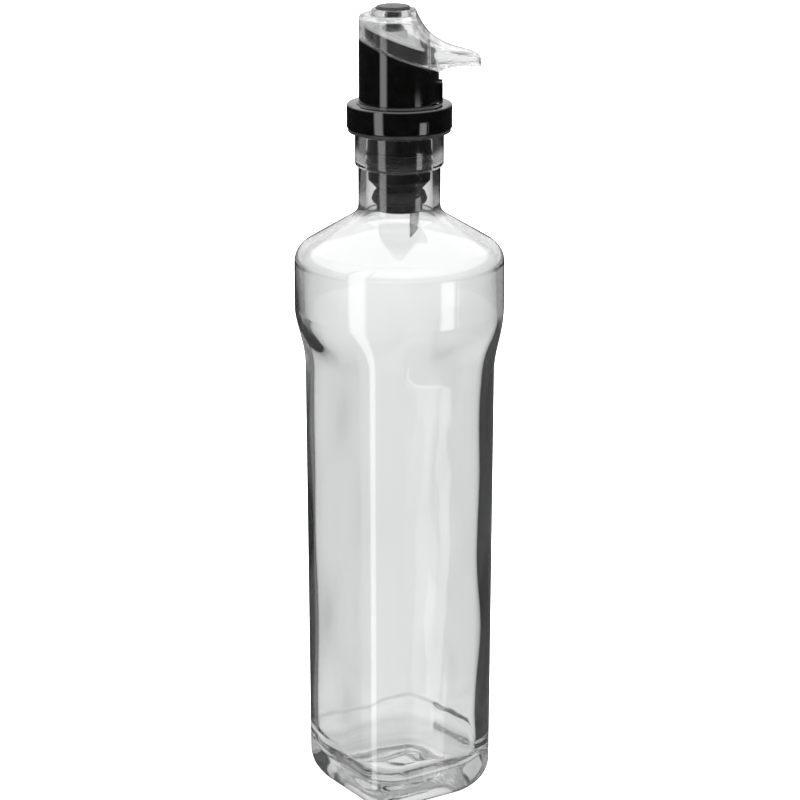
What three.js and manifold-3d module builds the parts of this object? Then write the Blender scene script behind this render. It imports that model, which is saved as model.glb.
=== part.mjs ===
// A square glass oil bottle with a push-button pourer, in millimetres.
// Origin: centre of the base. +Z runs up the bottle and +X towards the spout's tip.
import * as THREE from 'three';
import { mergeVertices } from 'three/addons/utils/BufferGeometryUtils.js';
import Module from 'manifold-3d';

const wasm = await Module();
wasm.setup();

const GAP = 0.3;              // clearance between separate pieces
const ROUND = 36;             // steps around a large turned piece
const SMALL_ROUND = 16;       // steps around a small turned piece

// Glass bottle
const SQUARE_TURN = THREE.MathUtils.degToRad(33);   // turn of the flats from the spout's direction
const CORNER_SHARE = 0.43;    // corner radius as a share of the flat's distance from the axis
const FLAT_LOW = 27.3;        // axis to flat, just above the heel
const FLAT_HIGH = 27.9;       // axis to flat, at the top of the square part
const BASE_FLAT = 17.4;       // axis to the outer edge of the bearing ring
const BEARING_INNER = 14.6;   // axis to the inner edge of the bearing ring
const HEEL_Z = 13;            // height of the rounded heel
const HEEL_POWER = 1.3;       // fullness of the heel's curve
const SQUARE_TOP_Z = 160;     // the square section ends here
const SHOULDER_LOW_Z = 181.5; // the section is round from here up
const SHOULDER_RISE = 2.3;    // how late the section turns round
const SHOULDER_R = 37.5;
const SHOULDER_EDGE_Z = 201.6;
const SHOULDER_EDGE_R = 8;
const SHOULDER_SLOPE = THREE.MathUtils.degToRad(31);
const NECK_R = 14.6;
const NECK_FILLET_R = 5;
const FINISH_LOW_Z = 235.9;
const FINISH_R = 15.75;
const LIP_Z = 248.7;
const BORE_R = 12.05;
const WALL = 3;
const FLOOR_Z = 11.5;         // inside floor, above the thick glass foot
const INNER_HEEL_R = 9;

// Pourer: round pieces on the bottle's axis
const COLLAR_R = 18.6;
const COLLAR_BORE_R = 12.5;
const COLLAR_LOW_Z = 250.2;
const GASKET_R = 18.15;
const COLLAR_TOP_Z = 258.7;
const SLEEVE_R = 14.3;
const SLEEVE_BORE_R = 12.6;
const INNER_BODY_R = 12.2;
const INNER_BODY_BORE_R = 10.8;
const CUT_SLOPE = Math.tan(THREE.MathUtils.degToRad(21.5));   // the sleeve's oblique edge
const CUT_MID_Z = 276.3;      // height of that edge at the axis
const GUIDE_LIFT = 5;         // the guide plate lies this far above the oblique edge
const SLOT_HALF = 8.6;        // half width of the sleeve's slot below the spout
const TAB_X = 8.7;            // the inner body's tall outlet wall starts here
const WINDOW_HALF = 2;        // half width of the latch panel's window
const WINDOW_LOW_Z = 264.2;
const OUTLET_Z = 275.3;       // height of the inner body's outlet window
const OUTLET_R = 1.7;         // half height of that window
const BOSS_R = 5;             // the guide plate's boss round the stem
const BOSS_TOP_Z = 284.3;

// Pourer: button, stem and valve, on their own axis
const STEM_X = -2.2;
const STEM_R = 3;
const ROD_R = 1.6;
const BUTTON_R = 6.1;
const CUP_R = 6.5;
const TURRET_R = 7.6;
const TURRET_TOP_Z = 292;
const SPRING_LOW_Z = 263;
const SPRING_TOP_Z = 274.7;
const SPRING_R = 3.3;
const WIRE_R = 0.45;
const SPRING_TURNS = 6;
const WEB_LOW_Z = 261.2;      // underside of the web that carries the spring
const WEB_HOLES = 5;
const WEB_HOLE_R = 1.5;
const WEB_HOLE_CIRCLE_R = 6.2;

// Pourer: hood and spout
const HOOD_WALL = 1.6;
const HOOD_SHELF_X = 4.6;      // the flat roof ends here and the sweep down to the spout begins
const TIP_X = 28.75;
const TIP_R = 3.4;
const CHANNEL_LOW_Z = 273.2;   // floor of the spout's channel
const HOOK_HALF = 1.7;         // half width of the hook that snaps into the latch panel
const HOOK_LOW_Z = 264.8;

// Pourer: plug and vent tube
const PLUG_R = 11.5;
const PLUG_TOP_Z = 256;
const CHAMBER_R = 8.5;
const CHAMBER_LOW_Z = 234;
const THROAT_R = 7.9;
const NOSE_R = 8.15;
const NOSE_LOW_Z = 220.2;
const RING_GROOVES_Z = [238.7, 241.6];
const GROOVE_R = 10;          // bottom of the seal rings' grooves
const FLOW_R = 4.2;
const VENT_X = 5.4;
const VENT_R = 1.7;
const VENT_BORE_R = 1;
const VENT_LOW_Z = 209;

const FAR = 30;               // reach of the cutting bodies, past every side of the pourer

// ---------- shared shape tools ----------

/** A point of a turned profile: radius and height. */
const at = (radius, z) => new THREE.Vector2(radius, z);

/** Evenly spaced points of a circular arc in a profile, ends included. */
function arc(radius, z, size, fromDeg, toDeg, steps) {
  const points = [];
  for (let i = 0; i <= steps; i += 1) {
    const angle = THREE.MathUtils.degToRad(fromDeg + ((toDeg - fromDeg) * i) / steps);
    points.push(at(radius + size * Math.cos(angle), z + size * Math.sin(angle)));
  }
  return points;
}

/** A body turned about the Z axis from a profile that runs anticlockwise. */
function turned(profile, steps = ROUND) {
  return new THREE.LatheGeometry(profile, steps).rotateX(Math.PI / 2);
}

/** A turned ring of rectangular section. */
function ring(innerR, outerR, lowZ, topZ, steps = ROUND) {
  const start = at(innerR, lowZ);
  return turned([start, at(outerR, lowZ), at(outerR, topZ), at(innerR, topZ), start], steps);
}

/** A plain upright cylinder at x. */
function post(x, radius, lowZ, topZ, steps = SMALL_ROUND) {
  return turned([at(0, lowZ), at(radius, lowZ), at(radius, topZ), at(0, topZ)], steps).translate(x, 0, 0);
}

/** A box given by its lowest and highest corners. */
function block(low, high) {
  const size = high.map((value, i) => value - low[i]);
  const middle = high.map((value, i) => (value + low[i]) / 2);
  return new THREE.BoxGeometry(...size).translate(...middle);
}

/** An outline in the XZ plane, extruded to both sides of it. */
function sideSlab(outline, halfWidth) {
  const geometry = new THREE.ExtrudeGeometry(new THREE.Shape(outline), {
    depth: 2 * halfWidth,
    bevelEnabled: false,
  });
  return geometry.rotateX(Math.PI / 2).translate(0, halfWidth, 0);
}

/** A geometry as a manifold solid. */
function solid(geometry) {
  const bare = geometry.clone();
  bare.deleteAttribute('normal');
  bare.deleteAttribute('uv');
  const merged = mergeVertices(bare, 1e-4);
  return new wasm.Manifold(new wasm.Mesh({
    numProp: 3,
    vertProperties: new Float32Array(merged.attributes.position.array),
    triVerts: new Uint32Array(merged.index.array),
  }));
}

/** A manifold solid back as a geometry. */
function geometryOf(body) {
  const mesh = body.getMesh();
  const geometry = new THREE.BufferGeometry();
  geometry.setAttribute('position', new THREE.BufferAttribute(mesh.vertProperties, 3));
  geometry.setIndex(new THREE.BufferAttribute(mesh.triVerts, 1));
  geometry.computeVertexNormals();
  return geometry;
}

// ---------- glass bottle ----------

/** Distance from the axis to a rounded square with flats at distance 1. */
function roundedSquare(angle) {
  const c = Math.abs(Math.cos(angle));
  const s = Math.abs(Math.sin(angle));
  const major = Math.max(c, s);
  const minor = Math.min(c, s);
  const straight = 1 - CORNER_SHARE;
  if (minor / major <= straight) return 1 / major;
  return straight * (major + minor) + Math.sqrt(CORNER_SHARE ** 2 - (straight * (major - minor)) ** 2);
}

/** How round the section is at a height: 0 on the square body, 1 on the shoulder. */
function roundness(z) {
  const share = (z - SQUARE_TOP_Z) / (SHOULDER_LOW_Z - SQUARE_TOP_Z);
  return THREE.MathUtils.clamp(share, 0, 1) ** SHOULDER_RISE;
}

/** Changes a turned body's round section into the bottle's section at each height. */
function squared(geometry) {
  const position = geometry.attributes.position;
  for (let i = 0; i < position.count; i += 1) {
    const x = position.getX(i);
    const y = position.getY(i);
    const angle = Math.atan2(y, x) - SQUARE_TURN;
    const grow = THREE.MathUtils.lerp(roundedSquare(angle), 1, roundness(position.getZ(i)));
    position.setXY(i, x * grow, y * grow);
  }
  return geometry;
}

/** The stretch where the square section swells into the round shoulder. */
function swelling(inset) {
  const points = [];
  for (let i = 0; i <= 6; i += 1) {
    const z = THREE.MathUtils.lerp(SQUARE_TOP_Z, SHOULDER_LOW_Z, i / 6);
    points.push(at(FLAT_HIGH + (SHOULDER_R - FLAT_HIGH) * roundness(z) - inset, z));
  }
  return points;
}

/** The shoulder's edge, its slope and the fillet into a neck of the given radius. */
function shoulder(inset, neckR, filletR) {
  const slopeDeg = THREE.MathUtils.radToDeg(SHOULDER_SLOPE);
  const edgeR = SHOULDER_R - SHOULDER_EDGE_R;
  const edge = arc(edgeR, SHOULDER_EDGE_Z, SHOULDER_EDGE_R - inset, 0, 90 - slopeDeg, 5);
  const last = edge[edge.length - 1];
  const meetZ = last.y + (last.x - neckR) * Math.tan(SHOULDER_SLOPE);
  const reach = filletR * Math.tan((Math.PI / 2 - SHOULDER_SLOPE) / 2);
  return [...edge, ...arc(neckR + filletR, meetZ + reach, filletR, 270 - slopeDeg, 180, 4)];
}

/** The heel's curve from the bearing ring up to the side wall. */
function heel() {
  const points = [];
  for (let i = 0; i <= 6; i += 1) {
    const angle = (i / 6) * (Math.PI / 2);
    const inset = (FLAT_LOW - BASE_FLAT) * (1 - Math.sin(angle) ** HEEL_POWER);
    points.push(at(FLAT_LOW - inset, HEEL_Z * (1 - Math.cos(angle))));
  }
  return points;
}

function glassBottle() {
  const pushUp = [at(0, 2.6), at(2, 2.9), at(3.2, 3.6), at(9, 3.4), at(13.2, 1.2), at(BEARING_INNER, 0)];
  const finish = [
    at(NECK_R, FINISH_LOW_Z),
    ...arc(FINISH_R - 1.4, FINISH_LOW_Z + 1.7, 1.4, -60, 0, 3),
    ...arc(FINISH_R - 0.8, LIP_Z - 0.8, 0.8, 0, 90, 3),
    at(BORE_R + 0.8, LIP_Z),
    at(BORE_R, LIP_Z - 0.8),
  ];
  const innerHeel = at(FLAT_LOW - WALL - INNER_HEEL_R, FLOOR_Z + INNER_HEEL_R);
  const floor = [...arc(innerHeel.x, innerHeel.y, INNER_HEEL_R, 0, -90, 5), at(0, FLOOR_Z + 0.8)];
  return squared(turned([
    ...pushUp,
    ...heel(),
    ...swelling(0),
    ...shoulder(0, NECK_R, NECK_FILLET_R),
    ...finish,
    ...shoulder(WALL, BORE_R, NECK_FILLET_R + 2).reverse(),
    ...swelling(WALL).reverse(),
    ...floor,
  ]));
}

// ---------- pieces that close the neck ----------

function collarGasket() {
  return ring(COLLAR_BORE_R, GASKET_R, LIP_Z + GAP, COLLAR_LOW_Z - GAP);
}

function collarFlange() {
  return turned([
    at(COLLAR_BORE_R, COLLAR_LOW_Z),
    at(COLLAR_R - 0.5, COLLAR_LOW_Z),
    at(COLLAR_R, COLLAR_LOW_Z + 0.5),
    ...arc(COLLAR_R - 0.7, COLLAR_TOP_Z - 0.7, 0.7, 0, 90, 3),
    at(15.3, COLLAR_TOP_Z),
    at(15.1, COLLAR_TOP_Z + 0.5),
    at(SLEEVE_R + GAP, COLLAR_TOP_Z + 0.5),
    at(SLEEVE_R + GAP, COLLAR_TOP_Z),
    at(COLLAR_BORE_R, COLLAR_TOP_Z),
    at(COLLAR_BORE_R, COLLAR_LOW_Z),
  ]);
}

function stopperPlug() {
  const grooves = RING_GROOVES_Z.flatMap((z) => [
    at(PLUG_R, z - 0.8), at(GROOVE_R, z - 0.8), at(GROOVE_R, z + 0.8), at(PLUG_R, z + 0.8),
  ]);
  const outside = turned([
    at(0, NOSE_LOW_Z),
    at(NOSE_R - 0.5, NOSE_LOW_Z),
    at(NOSE_R, NOSE_LOW_Z + 0.5),
    at(NOSE_R, 223.3),
    at(7.2, 223.3),
    at(7.2, 227.9),
    at(THROAT_R, 228.2),
    at(11.1, 231.7),
    ...grooves,
    at(PLUG_R + 0.1, PLUG_TOP_Z),
    at(0, PLUG_TOP_Z),
  ]);
  return geometryOf(solid(outside)
    .subtract(solid(post(0, CHAMBER_R, CHAMBER_LOW_Z, PLUG_TOP_Z + 1, ROUND)))
    .subtract(solid(post(STEM_X, FLOW_R, NOSE_LOW_Z - 1, CHAMBER_LOW_Z + 1)))
    .subtract(solid(post(VENT_X, VENT_R + GAP, NOSE_LOW_Z - 1, CHAMBER_LOW_Z + 1))));
}

/** A soft ring in one of the plug's grooves, thick at its root and thin at its lip. */
function sealRing(z) {
  const root = at(GROOVE_R + GAP, z - 0.5);
  const lipR = BORE_R - GAP;
  return turned([root, at(lipR, z - 0.2), at(lipR, z + 0.2), at(root.x, z + 0.5), root]);
}

function noseRing() {
  const innerR = 7.5;
  return turned([
    at(innerR, 223.7),
    at(9.4, 223.7),
    at(9.95, 224.9),
    at(9.6, 226),
    at(8.4, 227.5),
    at(innerR, 227.5),
    at(innerR, 223.7),
  ]);
}

function ventTube() {
  const tube = ring(VENT_BORE_R, VENT_R, VENT_LOW_Z, PLUG_TOP_Z, SMALL_ROUND);
  const obliqueEnd = new THREE.BoxGeometry(8, 8, 4).rotateY(-0.9).translate(1.6, 0, VENT_LOW_Z - 1.2);
  return geometryOf(solid(tube).subtract(solid(obliqueEnd))).translate(VENT_X, 0, 0);
}

// ---------- pourer body ----------

/** The region below the oblique plane, lifted by a distance. */
function belowCut(lift) {
  const edge = (x) => at(x, CUT_MID_Z + lift - x * CUT_SLOPE);
  return solid(sideSlab([at(-FAR, 200), at(FAR, 200), edge(FAR), edge(-FAR)], FAR));
}

function pourerSleeve() {
  const tube = solid(ring(SLEEVE_BORE_R, SLEEVE_R, COLLAR_TOP_Z + GAP, 290));
  const slot = block([8, -SLOT_HALF, COLLAR_TOP_Z], [16, SLOT_HALF, 290]);
  return geometryOf(tube.intersect(belowCut(0)).subtract(solid(slot)));
}

/** The recessed panel in the sleeve's slot, with a window and two guide ribs for the hood's hook. */
function latchPanel() {
  const lowZ = COLLAR_TOP_Z + GAP;
  const shell = solid(ring(SLEEVE_BORE_R, SLEEVE_R - 0.5, lowZ, 290)).intersect(belowCut(-0.4));
  const inSlot = block([8, -SLOT_HALF + GAP, lowZ - 1], [16, SLOT_HALF - GAP, 290]);
  const window = block([11, -WINDOW_HALF, WINDOW_LOW_Z], [16, WINDOW_HALF, 290]);
  let panel = shell.intersect(solid(inSlot)).subtract(solid(window));
  for (const side of [-1, 1]) {
    const edges = [side * 2.2, side * 3.4].sort((a, b) => a - b);
    panel = panel.add(solid(block([13, edges[0], lowZ + 0.5], [15.2, edges[1], 266.5])));
  }
  return geometryOf(panel.subtract(solid(post(0, SLEEVE_BORE_R, lowZ - 1, 280, ROUND))));
}

/** The concave stretch of the hood's top line, from the turret to the spout. */
function hoodSweep() {
  return new THREE.SplineCurve([
    at(5.6, 290.8),
    at(7.5, 286.6),
    at(9.75, 283.4),
    at(13.1, 280.7),
    at(16.9, 278.9),
    at(23.4, 277.4),
    at(26.7, 276.3),
  ]).getPoints(14);
}

/** The sweep moved inwards by a distance, with the crossed points at its start left out. */
function insetSweep(distance) {
  const points = hoodSweep();
  const moved = points.slice(0, -1).map((point, i) => {
    const along = points[i + 1].clone().sub(point).normalize();
    return at(point.x + along.y * distance, point.y - along.x * distance);
  });
  return moved.filter((point) => point.x > HOOD_SHELF_X + 0.2);
}

/** The hood's plan: a disc and a tongue that tapers to the spout's tip. */
function hoodPlan(discR, tipR, tipX, lowZ, topZ) {
  const reach = tipX - tipR;
  const lean = Math.acos((discR - tipR) / reach);
  const shape = new THREE.Shape();
  shape.absarc(0, 0, discR, lean, 2 * Math.PI - lean, false);
  shape.absarc(reach, 0, tipR, -lean, lean, false);
  const geometry = new THREE.ExtrudeGeometry(shape, {
    depth: topZ - lowZ,
    bevelEnabled: false,
    curveSegments: 18,
  });
  return solid(geometry.translate(0, 0, lowZ));
}

/** The region under the hood's outer top line. */
function underHood() {
  const back = [at(-SLEEVE_R, 288.2), at(-13.9, 289.2), at(-12.8, 289.8), at(-9.8, 290.5)];
  const shelf = at(HOOD_SHELF_X, 291.1);
  const tip = [at(28.2, 275.3), at(TIP_X, 273.9), at(28.3, 272.2), at(27.6, 271.8)];
  const below = [at(27.6, 255), at(-SLEEVE_R, 255)];
  return solid(sideSlab([...back, shelf, ...hoodSweep(), ...tip, ...below].reverse(), FAR));
}

/** The region under the hood's inner top line, at a distance below the outer one. */
function insideHood(distance) {
  const roof = [at(-FAR, 290 - distance), at(HOOD_SHELF_X, 290.6 - distance)];
  const sweep = insetSweep(distance);
  const below = [at(sweep[sweep.length - 1].x, 255), at(-FAR, 255)];
  return solid(sideSlab([...roof, ...sweep, ...below].reverse(), FAR));
}

/** The region above the hood's lower edge, which follows the sleeve and then the spout's underside. */
function aboveUnderside() {
  const edge = (x) => at(x, CUT_MID_Z + GAP - x * CUT_SLOPE);
  const spout = [at(16.9, 271.9), at(20, 272.2), at(24.9, 271.9), at(FAR, 271.7)];
  return solid(sideSlab([at(-FAR, 300), edge(-FAR), edge(SLEEVE_R), ...spout, at(FAR, 300)], FAR));
}

/** The hook that hangs under the spout, with its barb. */
function hoodHook() {
  const shank = block([12.9, -HOOK_HALF, HOOK_LOW_Z], [14, HOOK_HALF, 272.5]);
  const barb = block([12.9, -HOOK_HALF, HOOK_LOW_Z], [14.5, HOOK_HALF, HOOK_LOW_Z + 1.4]);
  return solid(shank).add(solid(barb));
}

function spoutHood() {
  const outside = hoodPlan(SLEEVE_R, TIP_R, TIP_X, 260, 300)
    .intersect(underHood())
    .intersect(aboveUnderside());
  const room = solid(post(0, SLEEVE_BORE_R, 255, 300, ROUND)).intersect(insideHood(HOOD_WALL));
  const outlet = block([26, -3, CHANNEL_LOW_Z], [33, 3, CHANNEL_LOW_Z + 1.4]);
  const channel = hoodPlan(SLEEVE_R - 4, TIP_R - 1.9, TIP_X + 3, CHANNEL_LOW_Z, 300)
    .intersect(insideHood(HOOD_WALL).add(solid(outlet)));
  return geometryOf(outside
    .subtract(room)
    .subtract(channel)
    .add(solid(post(STEM_X, TURRET_R, 287.4, TURRET_TOP_Z, ROUND)))
    .subtract(solid(post(STEM_X, CUP_R, 280, 300, ROUND)))
    .add(hoodHook()));
}

/** The inner tube with its tall outlet wall under the spout, and the outlet window in it. */
function innerBody() {
  const tube = solid(ring(INNER_BODY_BORE_R, INNER_BODY_R, PLUG_TOP_Z + GAP, 290));
  const wall = tube
    .intersect(solid(block([TAB_X, -FAR, 255], [FAR, FAR, 290])))
    .intersect(insideHood(HOOD_WALL + GAP));
  const outlet = new THREE.CapsuleGeometry(OUTLET_R, 6, 4, 12).translate(INNER_BODY_R - 0.2, 0, OUTLET_Z);
  return geometryOf(tube.intersect(belowCut(GUIDE_LIFT)).add(wall).subtract(solid(outlet)));
}

/** The oblique plate over the inner body, with the boss that holds the stem's seal. */
function guidePlate() {
  const disc = solid(post(0, INNER_BODY_R, 260, 295, ROUND));
  const plate = disc.intersect(belowCut(GUIDE_LIFT + 1.3)).subtract(belowCut(GUIDE_LIFT + GAP));
  const boss = solid(post(STEM_X, BOSS_R, 281, BOSS_TOP_Z));
  return geometryOf(plate
    .subtract(solid(block([TAB_X - GAP, -FAR, 250], [FAR, FAR, 300])))
    .add(boss)
    .subtract(solid(post(STEM_X, STEM_R + GAP, 270, 300)))
    .subtract(solid(post(STEM_X, 4.2, 282.7, 300))));
}

// ---------- button, stem, spring and valve ----------

function pushButton() {
  const edge = [at(5.6, 291.1), at(BUTTON_R, 291.5), at(BUTTON_R, 292.7), at(5.6, 293.1)];
  const profile = [at(0, 291.1), ...edge, at(3, 293.4), at(0, 293.5)];
  return turned(profile, SMALL_ROUND).translate(STEM_X, 0, 0);
}

function buttonStem() {
  const rod = [at(0, 250.6), at(ROD_R - 0.5, 250.6), at(ROD_R, 251.1), at(ROD_R, 276.6)];
  const stem = [at(STEM_R, 276.6), at(STEM_R, 290.8), at(0, 290.8)];
  return turned([...rod, ...stem], SMALL_ROUND).translate(STEM_X, 0, 0);
}

/** A ring on the stem's axis. */
function stemRing(innerR, outerR, lowZ, topZ) {
  return ring(innerR, outerR, lowZ, topZ, SMALL_ROUND).translate(STEM_X, 0, 0);
}

/** The open coil between the spring seat and the retainer. */
function returnSpring() {
  class Coil extends THREE.Curve {
    getPoint(share, target = new THREE.Vector3()) {
      const angle = share * SPRING_TURNS * 2 * Math.PI;
      const z = THREE.MathUtils.lerp(SPRING_LOW_Z + WIRE_R, SPRING_TOP_Z - WIRE_R, share);
      return target.set(STEM_X + SPRING_R * Math.cos(angle), SPRING_R * Math.sin(angle), z);
    }
  }
  const section = new THREE.Shape();
  section.absarc(0, 0, WIRE_R, 0, 2 * Math.PI, false);
  return new THREE.ExtrudeGeometry(section, {
    steps: SPRING_TURNS * 10,
    curveSegments: 3,
    bevelEnabled: false,
    extrudePath: new Coil(),
  });
}

/** The web that the spring stands on, with windows that let the oil past. */
function springSeat() {
  let web = solid(post(0, INNER_BODY_BORE_R - GAP, WEB_LOW_Z, SPRING_LOW_Z - GAP, ROUND))
    .subtract(solid(post(STEM_X, ROD_R + GAP, 255, 270)));
  for (let i = 0; i < WEB_HOLES; i += 1) {
    const angle = (i / WEB_HOLES) * 2 * Math.PI;
    const x = STEM_X + WEB_HOLE_CIRCLE_R * Math.cos(angle);
    const y = WEB_HOLE_CIRCLE_R * Math.sin(angle);
    web = web.subtract(solid(post(0, WEB_HOLE_R, 255, 270).translate(x, y, 0)));
  }
  return geometryOf(web);
}

/** The disc with the oil's port and the vent's hole, closed from below by the valve. */
function valveSeat() {
  return geometryOf(solid(post(0, INNER_BODY_BORE_R - GAP, 257, 258.6, ROUND))
    .subtract(solid(post(STEM_X, FLOW_R, 250, 265)))
    .subtract(solid(post(VENT_X, VENT_BORE_R, 250, 265))));
}

// ---------- the assembly ----------

const materials = {
  glass: { color: 0xe4ebea, roughness: 0.03, metalness: 0, transparent: true, opacity: 0.3 },
  clearPlastic: { color: 0xeef1f1, roughness: 0.08, metalness: 0, transparent: true, opacity: 0.4 },
  blackPlastic: { color: 0x0b0b0c, roughness: 0.12, metalness: 0 },
  plugPlastic: { color: 0x1d1e20, roughness: 0.35, metalness: 0 },
  mattPlastic: { color: 0x0f0f10, roughness: 0.5, metalness: 0 },
  milkyPlastic: { color: 0xe6e7e7, roughness: 0.25, metalness: 0, transparent: true, opacity: 0.8 },
  tubePlastic: { color: 0xa2a4a4, roughness: 0.2, metalness: 0, transparent: true, opacity: 0.7 },
  seal: { color: 0x17181a, roughness: 0.6, metalness: 0 },
  clearSeal: { color: 0xc9cccb, roughness: 0.5, metalness: 0 },
  steel: { color: 0xc4c6c8, roughness: 0.25, metalness: 1 },
};

const bottle = new THREE.Group();

/** Adds one named piece to the assembly. */
function piece(name, material, geometry) {
  const mesh = new THREE.Mesh(geometry, new THREE.MeshStandardMaterial(materials[material]));
  mesh.name = name;
  bottle.add(mesh);
}

piece('glass_bottle', 'glass', glassBottle());
piece('collar_gasket', 'seal', collarGasket());
piece('collar_flange', 'blackPlastic', collarFlange());
piece('stopper_plug', 'plugPlastic', stopperPlug());
piece('lower_seal_ring', 'seal', sealRing(RING_GROOVES_Z[0]));
piece('upper_seal_ring', 'seal', sealRing(RING_GROOVES_Z[1]));
piece('nose_ring', 'seal', noseRing());
piece('vent_tube', 'tubePlastic', ventTube());
piece('pourer_sleeve', 'blackPlastic', pourerSleeve());
piece('latch_panel', 'blackPlastic', latchPanel());
piece('inner_body', 'blackPlastic', innerBody());
piece('spout_hood', 'clearPlastic', spoutHood());
piece('guide_plate', 'milkyPlastic', guidePlate());
piece('stem_seal', 'clearSeal', stemRing(STEM_R + GAP, 3.9, 283, 284.2));
piece('guide_bush', 'clearPlastic', stemRing(STEM_R + GAP, 3.9, 284.6, 286));
piece('push_button', 'mattPlastic', pushButton());
piece('button_stem', 'blackPlastic', buttonStem());
piece('spring_retainer', 'blackPlastic', stemRing(ROD_R + GAP, 4.2, SPRING_TOP_Z + GAP, 276.3));
piece('return_spring', 'steel', returnSpring());
piece('spring_seat', 'blackPlastic', springSeat());
piece('valve_seat', 'blackPlastic', valveSeat());
piece('valve_seal', 'clearSeal', stemRing(ROD_R + GAP, 5.4, 254.9, 256.7));
piece('valve_disc', 'blackPlastic', stemRing(ROD_R + GAP, 5.5, 252.8, 254.6));

export default bottle;
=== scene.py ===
import math

import bmesh
import bpy
import numpy as np
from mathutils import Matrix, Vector


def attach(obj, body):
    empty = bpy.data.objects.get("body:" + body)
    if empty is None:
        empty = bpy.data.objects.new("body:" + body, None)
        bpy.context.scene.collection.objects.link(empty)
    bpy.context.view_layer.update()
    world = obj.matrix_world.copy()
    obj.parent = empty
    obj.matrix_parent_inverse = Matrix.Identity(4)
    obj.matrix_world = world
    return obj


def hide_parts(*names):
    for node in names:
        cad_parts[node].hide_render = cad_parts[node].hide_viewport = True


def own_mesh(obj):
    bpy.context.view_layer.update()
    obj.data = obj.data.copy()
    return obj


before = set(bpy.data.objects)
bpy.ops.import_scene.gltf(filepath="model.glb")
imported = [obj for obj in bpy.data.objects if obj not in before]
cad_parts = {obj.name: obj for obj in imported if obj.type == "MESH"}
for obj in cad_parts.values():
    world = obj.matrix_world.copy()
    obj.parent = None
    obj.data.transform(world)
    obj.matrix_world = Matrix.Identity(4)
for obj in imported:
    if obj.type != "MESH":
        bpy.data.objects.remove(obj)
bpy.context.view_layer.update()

MM = 0.001

# Camera: the photograph's viewing angle
PITCH = math.radians(16.3)
DISTANCE = 1034.6
AIM = (0.2, 0.0, 150.0)
LENS = 128.8

# Glass bottle
SQUARE_TURN = math.radians(33)
CORNER_SHARE = 0.43
FLAT_LOW, FLAT_HIGH = 27.3, 27.9
BASE_FLAT, BEARING_INNER = 17.4, 14.6
HEEL_Z, HEEL_POWER = 13.0, 1.3
SQUARE_TOP_Z, SHOULDER_LOW_Z = 160.0, 185.0
SWELL_START, SWELL_END = 2.6, 2.0
SHOULDER_R, SHOULDER_EDGE_Z, SHOULDER_EDGE_R = 37.5, 201.6, 8.0
SHOULDER_SLOPE = math.radians(31)
NECK_R, NECK_FILLET_R = 14.6, 5.0
FINISH_LOW_Z, FINISH_R, LIP_Z = 235.9, 15.75, 248.7
BORE_R, WALL = 12.05, 3.0
FLOOR_Z, INNER_HEEL_R, RIPPLE_Z, RIPPLE_TOP_Z = 11.5, 9.0, 21.5, 32.0
KNURL_R, KNURL_TICKS, KNURL_DEPTH = 20.5, 84, 0.25
PUSH_UP, DIMPLE = 3.5, 0.9    # the foot's hollow, and the dimple at its centre
RIPPLE, WAVE = 1.2, 0.3       # unevenness of the inner wall, above the foot and all the way up

# Pourer
CONTACT = 0.04                # gap between pieces that press on each other
COLLAR_R, COLLAR_BORE_R, COLLAR_LOW_Z, COLLAR_TOP_Z = 18.6, 12.5, 250.0, 258.7
GASKET_R = 18.15
SLEEVE_R, SLEEVE_BORE_R = 14.3, 12.6
INNER_BODY_R, INNER_BODY_BORE_R = 12.2, 10.8
CUT_SLOPE, CUT_MID_Z = math.tan(math.radians(21.5)), 276.3
GUIDE_LIFT = 5.0
SLOT_HALF, TAB_X = 8.6, 8.7
STEM_X, STEM_R, ROD_R = -2.2, 3.0, 1.6
BUTTON_R, CUP_R, TURRET_R, TURRET_TOP_Z = 6.1, 6.5, 7.6, 292.0
HOOD_WALL, HOOD_ROOF_Z = 1.6, 290.4
TIP_X, TIP_R = 28.75, 3.4
CHANNEL_Z = 273.3
PLUG_R, PLUG_TOP_Z, CHAMBER_R, CHAMBER_LOW_Z = 11.5, 256.0, 8.5, 234.0
THROAT_R, NOSE_R, NOSE_LOW_Z = 7.9, 8.15, 220.2
RING_GROOVES_Z = (238.7, 241.6)
FLOW_R, VENT_X, VENT_R, VENT_BORE_R, VENT_LOW_Z = 4.2, 5.4, 1.7, 1.0, 209.0
SPRING_LOW_Z, SPRING_TOP_Z, SPRING_R, WIRE_R, SPRING_TURNS = 263.0, 274.7, 3.3, 0.45, 6
WEB_LOW_Z, WEB_HOLES, WEB_HOLE_R, WEB_HOLE_CIRCLE_R = 261.2, 5, 1.5, 6.2

# Studio light: the surround's radius, how far it dims at the sides, its brightness at several heights, and
# the same for light that the glass has mirrored inside itself, which is never under DOME_LEFT on the left
DOME_R, DOME_SIDE, DOME_LEFT = 900.0, 0.68, 0.25
DOME_DIRECT = [(-900, 0.6), (-600, 0.74), (-440, 0.92), (-100, 0.9), (40, 0.98), (900, 1.0)]
DOME_MIRRORED = [(-900, 0.75), (-470, 0.7), (-410, 0.06), (-60, 0.05), (0, 0.5), (90, 0.5), (120, 0.7),
                 (900, 0.8)]
SKY_STRENGTH = 3.2
SKY = [(0.0, 0.02), (0.49, 0.03), (0.51, 1.0), (0.69, 1.0), (0.74, SKY_STRENGTH), (1.0, SKY_STRENGTH)]
SOFTBOX_DISTANCE, SOFTBOX_CORE = 900.0, 0.45


# ---------- mesh tools ----------

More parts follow.
